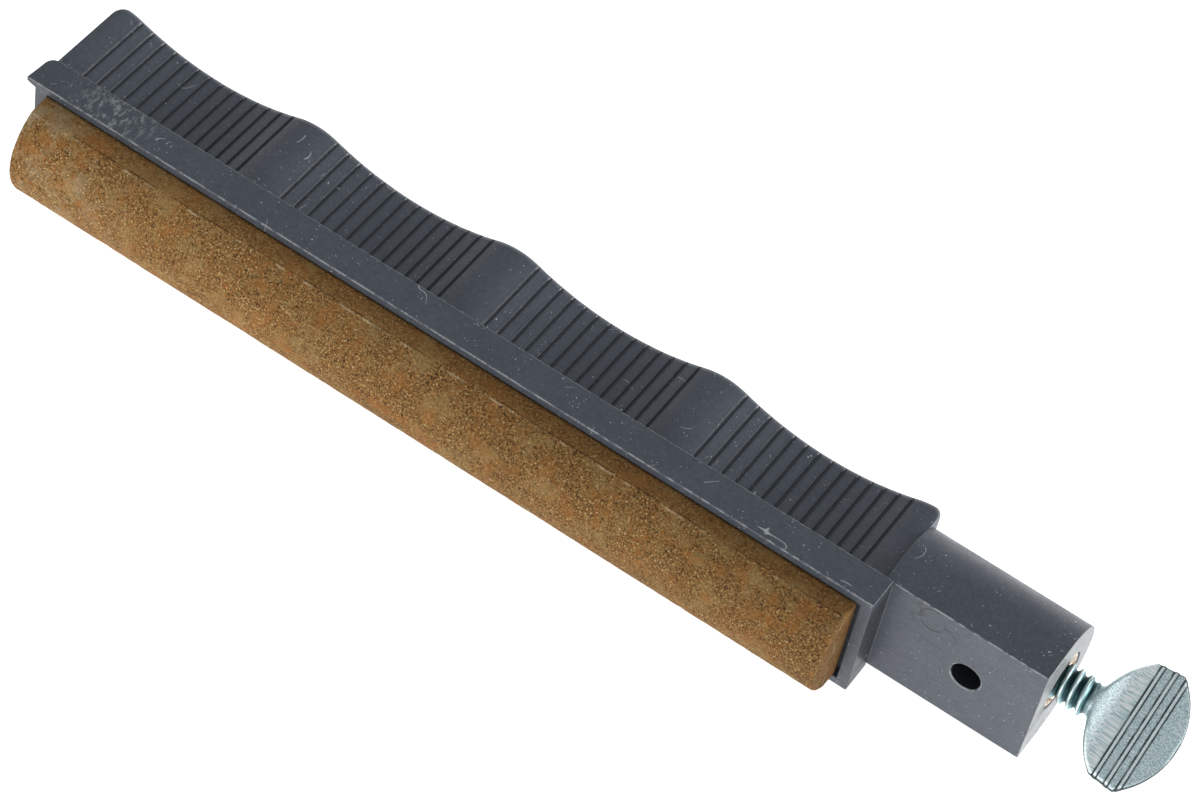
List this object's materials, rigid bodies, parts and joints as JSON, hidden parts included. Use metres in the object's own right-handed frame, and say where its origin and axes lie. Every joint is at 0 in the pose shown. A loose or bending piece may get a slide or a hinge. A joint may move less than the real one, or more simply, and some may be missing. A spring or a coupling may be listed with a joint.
{
  "type": "guided-rod sharpening hone",
  "caption": "Convex sharpening stone bonded in a scalloped plastic holder, with a boss that takes a guide rod and a thumbscrew that clamps it.",
  "frame": {"origin": "middle of the bounding box at its base, with the hone lying on one side lip and the boss's side", "axes": "+X along the hone from the toe to the thumbscrew, +Y from the stone side to the grip's back, +Z across the hone, up as it lies"},
  "size_m": [0.1382, 0.0225, 0.015],
  "materials": {
    "holder_plastic": "dark cool grey, satin, as moulded",
    "stone": "speckled brown abrasive, matt",
    "adhesive": "amber film",
    "insert_brass": "turned, slightly tarnished",
    "screw_zinc": "bright zinc plating with a faint blue cast"
  },
  "bodies": {
    "hone": {"holder": "holder_plastic", "stone": "stone", "adhesive": "adhesive", "threaded_insert": "insert_brass"},
    "screw": {"thumbscrew": "screw_zinc"}
  },
  "joints": [
    {"name": "thumbscrew_turn", "type": "hinge", "parent": "hone", "child": "screw", "pos_m": [0.05928, 0.00496, 0.0075], "axis": [1, 0, 0], "range_deg": [-1220, 1760]}
  ]
}
